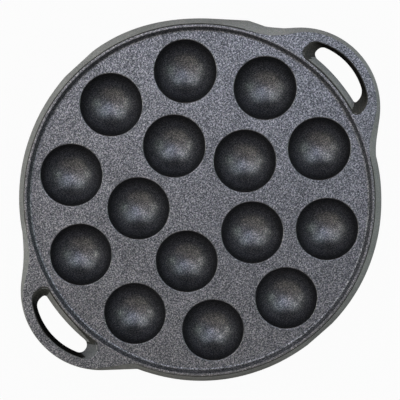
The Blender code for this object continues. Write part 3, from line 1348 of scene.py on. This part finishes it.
@dataclass
class RimSkins:
    """Tells which finish rim and loops show at a place."""

    rim: RimAndHandles
    crest_margin: float = 0.2 * MM      # inside the crest's inner edge, still in the crest's finish
    step_edge: float = 0.05 * MM        # inside the crest's outer edge, no longer in the crest's finish
    grained_depth: float = 0.6 * MM     # below the crest, still grained on the loops
    underside_below: float = -0.25      # upward part of the normal
    wall_below: float = 0.9             # the same, on a slot's walls
    scoop_from: float = 0.35            # and on a scoop
    scoop_lean: float = 0.6             # outward part of the normal, at most, on a scoop
    slot_reach: float = 31 * MM         # no slot goes further along its loop than this
    wall_turn: float = 0.55             # how far a slot's wall may look away from the loop's
    end_turn: float = 0.35              # centre, and the same at the loop's ends
    slot_shade: float = 25 * MM         # half the length over which the step's painted shade is wider
    step_shade: Point = (0.2 * MM, 1.4 * MM)    # depths between which the step has painted shade
    step_margin: float = 0.3 * MM       # how much wider its painted shade is than the step
    slot_margin: float = 0.9 * MM       # the same in a slot
    scoop_margin: float = 5 * MM        # and what comes on top towards a pale scoop

    def choose(self, centre: Vector, normal: Vector) -> Skin:
        """Tell a face's skin by its centre and normal.

        Args:
            centre: The face's centre.
            normal: Its normal.

        Returns:
            The skin.
        """
        rim = self.rim
        if normal.z < self.underside_below:
            return Skin.UNDERSIDE
        reach = self._trued_reach(centre)
        if reach < rim.crest_inner - self.crest_margin:
            return Skin.GRAINED
        if reach < rim.crest_outer - self.step_edge:
            return Skin.CREST
        facing = math.copysign(1, centre.x)
        away = Vector((centre.x - facing * rim.loop_centre, centre.y))
        turned = self.wall_turn if abs(centre.y) < self.slot_reach else self.end_turn
        inward = abs(centre.x) > rim.loop_centre and away.dot(normal.xy) < turned * away.length
        sloping = self.scoop_from < normal.z < self.wall_below
        scooped = sloping and normal.x * facing < self.scoop_lean
        if inward and scooped and self._end_at(centre).pale:
            return Skin.SCOOP
        # Slot walls and the step outside the crest are painted dark as shade.
        if inward and normal.z < self.wall_below or self._in_painted_step_shade(centre):
            return Skin.WALL
        if centre.z > rim.form.crest_top - self.grained_depth:
            return Skin.GRAINED
        return Skin.FLANK

    def _trued_reach(self, place: Vector) -> float:
        """Distance from the pan's axis, near the crest as if the crest were a true circle.

        Args:
            place: The place.

        Returns:
            The distance.
        """
        reach = math.hypot(place.x, place.y)
        if abs(reach - self.rim.crest_outer) > self.rim.crest_blend:
            return reach
        bearing = np.array([math.atan2(place.y, place.x)])
        return reach - float(swelling(self.rim.crest_swells, bearing)[0])

    def _end_at(self, place: Vector) -> SlotEnd:
        """Give the end of a slot that lies nearest to a place on its loop.

        Args:
            place: The place.

        Returns:
            The slot's end.
        """
        facing = math.copysign(1, place.x)
        slot = next(handle.slot for handle in self.rim.handles if handle.facing == facing)
        return slot.first if place.y * facing > 0 else slot.second

    def _in_painted_step_shade(self, place: Vector) -> bool:
        """Tell whether a place lies in the painted shade of the step just outside the crest.

        The shade is wider in the slots, and widens on towards a pale scoop.

        Args:
            place: The place.

        Returns:
            True in the step's painted shade.
        """
        below = self.rim.form.crest_top - place.z
        beyond = self._trued_reach(place) - self.rim.crest_outer - self.rim.step_run
        in_slot = abs(place.y) < self.slot_shade and abs(place.x) > self.rim.loop_centre
        wide = self.slot_margin if in_slot else self.step_margin
        if in_slot and self._end_at(place).pale:
            wide += self.scoop_margin * (place.y / self.slot_shade) ** 2
        upper, lower = self.step_shade
        return upper < below < lower + wide and beyond < wide


# Studio


@dataclass(frozen=True)
class SoftBox:
    """One soft lamp, placed as seen from the pan: how far down from overhead, and which way."""

    name: str
    bearing: float      # from the photograph's upward direction, clockwise, in degrees
    slant: float        # from overhead, in degrees
    width: float        # in degrees, as seen from the pan
    height: float       # the same
    radiance: float     # where its colour is 1
    colour: Colour
    distance: float = 0.8       # from the pan's middle


@dataclass
class Studio:
    """Camera, lamps and floor round the pan."""

    form: CastingForm
    right_angle: float = math.radians(-42.1)    # the photograph's rightward direction
    camera_distance: float = 0.65
    camera_right: float = math.radians(1.0)     # its tilt from overhead
    camera_up: float = math.radians(5.0)
    aim_right: float = 0.49 * MM                # of what it looks at, from the pan's middle
    aim_up: float = 1.47 * MM
    lens: float = 87.9                          # in millimetres
    clip: Point = (0.05, 30)
    floor_size: float = 9.0
    floor_colour: Colour = (0.38, 0.38, 0.375)      # as the lamps light it, with the shadow
    floor_white: float = 0.96                       # share of plain white, as the camera sees it
    floor_roughness: float = 0.9
    floor_specular: float = 0.1
    wall_colour: Colour = (0.05, 0.05, 0.05)
    boxes: tuple[SoftBox, ...] = (
        SoftBox("high_left", -45, 14, 20, 20, 1.2, (1.05, 0.98, 0.9)),
        SoftBox("high_right", 45, 16, 20, 20, 1.45, (0.9, 0.98, 1.17)),
        SoftBox("overhead_card", 180, 12, 40, 20, 0.3, (1.1, 1.0, 0.9)),
        SoftBox("window_box", 0, 26, 44, 32, 0.55, (0.95, 0.98, 1.2)),
        SoftBox("left_sheet", -50, 30, 40, 32, 0.2, (1.0, 1.0, 1.1)),
        SoftBox("left_window", -45, 52, 46, 30, 1.45, (0.97, 1.01, 0.99)),
        SoftBox("right_window", 45, 52, 46, 30, 1.16, (0.92, 1.02, 1.06)),
        SoftBox("left_wall", -92, 37, 40, 52, 0.43, (1.07, 0.98, 0.93)),
        SoftBox("right_wall", 92, 37, 40, 52, 0.28, (0.96, 0.96, 1.08)),
        SoftBox("front_card", 180, 41, 76, 34, 0.44, (1.06, 0.98, 0.86)),
        SoftBox("low_card", -135, 56, 40, 34, 0.22, (1.06, 1.03, 0.78)),
        SoftBox("left_strip", -90, 78, 60, 20, 2.65, (1.0, 1.02, 0.92)),
        SoftBox("right_strip", 90, 78, 60, 20, 1.75, (0.93, 1.08, 0.93)),
        SoftBox("far_strip", 0, 78, 60, 20, 0.75, (1.14, 0.98, 0.77)),
    )

    @property
    def middle(self) -> Vector:
        """The pan's centre, level with the deck."""
        return Vector((0, 0, self.form.deck_top))

    @property
    def axes(self) -> tuple[Vector, Vector, Vector]:
        """The photograph's rightward and upward directions on the deck, and the sky's.

        Returns:
            The three directions, each of length 1.
        """
        a = self.right_angle
        return (Vector((math.cos(a), math.sin(a), 0)),
                Vector((-math.sin(a), math.cos(a), 0)), Vector((0, 0, 1)))

    @staticmethod
    def _facing(place: Vector, target: Vector, up: Vector) -> Matrix:
        """Pose at a place, looking at a target, with a hint for upward.

        Args:
            place: Where it stands.
            target: What it looks at.
            up: About which way is up in its view.

        Returns:
            The pose, as a world matrix.
        """
        back = (place - target).normalized()
        right = up.cross(back).normalized()
        turned = Matrix((right, back.cross(right), back)).transposed()
        return Matrix.Translation(place) @ turned.to_4x4()

    def add_camera(self) -> None:
        """Set the camera at the photograph's viewing angle."""
        right, up, sky = self.axes
        a, b = math.sin(self.camera_right), math.sin(self.camera_up)
        way = right * a + up * b + sky * math.sqrt(1 - a * a - b * b)
        data = bpy.data.cameras.new("camera")
        data.lens = self.lens
        data.clip_start, data.clip_end = self.clip
        camera = bpy.data.objects.new("camera", data)
        bpy.context.scene.collection.objects.link(camera)
        target = self.middle + right * self.aim_right + up * self.aim_up
        camera.matrix_world = self._facing(self.middle + way * self.camera_distance, target, up)
        bpy.context.scene.camera = camera

    def add_lamps(self) -> None:
        """Hang the soft boxes round the pan."""
        right, up, sky = self.axes
        for box in self.boxes:
            bearing, slant = math.radians(box.bearing), math.radians(box.slant)
            way = ((right * math.sin(bearing) + up * math.cos(bearing)) * math.sin(slant)
                   + sky * math.cos(slant))
            data = bpy.data.lights.new(box.name, "AREA")
            data.shape = "RECTANGLE"
            data.size = 2 * box.distance * math.tan(math.radians(box.width / 2))
            data.size_y = 2 * box.distance * math.tan(math.radians(box.height / 2))
            data.energy = box.radiance * math.pi * data.size * data.size_y
            data.color = box.colour
            lamp = bpy.data.objects.new(box.name, data)
            bpy.context.scene.collection.objects.link(lamp)
            lamp.matrix_world = self._facing(self.middle + way * box.distance, self.middle, up)

    def add_floor(self) -> None:
        """Lay a pale floor that reads as white, with the pan's soft shadow on it."""
        deselect_all()
        bpy.ops.mesh.primitive_plane_add(size=self.floor_size)
        floor = bpy.context.object
        floor.name = floor.data.name = "floor"
        made = bpy.data.materials.new("pale_floor")
        made.use_nodes = True
        tree = made.node_tree
        shader = tree.nodes["Principled BSDF"]
        shader.inputs["Base Color"].default_value = (*self.floor_colour, 1)
        shader.inputs["Roughness"].default_value = self.floor_roughness
        shader.inputs["Specular IOR Level"].default_value = self.floor_specular
        glow = tree.nodes.new("ShaderNodeEmission")
        share = self._seen_share(tree, self.floor_white)
        blend = tree.nodes.new("ShaderNodeMixShader")
        tree.links.new(share, blend.inputs["Fac"])
        tree.links.new(shader.outputs["BSDF"], blend.inputs[1])
        tree.links.new(glow.outputs["Emission"], blend.inputs[2])
        tree.links.new(blend.outputs["Shader"], tree.nodes["Material Output"].inputs["Surface"])
        floor.data.materials.append(made)

    @staticmethod
    def _seen_share(tree: Tree, share: float) -> Socket:
        """Give a share on rays from the camera and on reflected and refracted ones, else 0.

        Args:
            tree: The material's nodes.
            share: The share.

        Returns:
            The share on those rays.
        """
        path = tree.nodes.new("ShaderNodeLightPath")
        seen = path.outputs["Is Camera Ray"]
        for name in ("Is Glossy Ray", "Is Transmission Ray"):
            seen = calculated(tree, "MAXIMUM", seen, path.outputs[name])
        part = tree.nodes.new("ShaderNodeMath")
        part.operation = "MULTIPLY"
        part.inputs[1].default_value = share
        tree.links.new(seen, part.inputs[0])
        return part.outputs["Value"]

    def set_world(self) -> None:
        """Surround the studio with plain dim walls."""
        world = bpy.data.worlds.new("studio_walls")
        world.use_nodes = True
        walls = world.node_tree.nodes["Background"]
        walls.inputs["Color"].default_value = (*self.wall_colour, 1)
        bpy.context.scene.world = world
        bpy.context.scene.view_settings.view_transform = "Standard"


# Putting the pan together


def settle(piece: bpy.types.Object, node: str) -> None:
    """Let a finished piece ride on the casting's body and stand for its node.

    Args:
        piece: The piece.
        node: The node it replaces.
    """
    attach(piece, BODY)
    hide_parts(node)
    log.info("%s stands for %s: %d faces", piece.name, node, len(piece.data.polygons))


def main() -> None:
    """Build the pan's pieces in order, then the studio round them."""
    logging.basicConfig(level=logging.INFO, format="%(message)s", stream=sys.stdout)
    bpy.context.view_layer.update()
    form = CastingForm.from_frame()
    paints = Paintbox()

    rim = RimAndHandles(form)
    ring, loops = rim.build()
    skins = RimSkins(rim)
    paints.paint(ring, skins.choose)
    settle(ring, "rim_ring")
    for handle in rim.handles:
        paints.paint(loops[handle.name], skins.choose)
        settle(loops[handle.name], handle.node)

    well = WellCup(form)
    deck = CookingDeck(form, rim.sides, well.lip_radius, well.sides)
    plate = deck.build()
    paints.paint(plate, deck.skin)
    settle(plate, "cooking_deck")

    for node, cup in well.build_all().items():
        paints.paint(cup, well.skin_of(*form.wells[node]))
        settle(cup, node)

    studio = Studio(form)
    studio.add_camera()
    studio.add_lamps()
    studio.add_floor()
    studio.set_world()


if __name__ == "__main__":
    main()
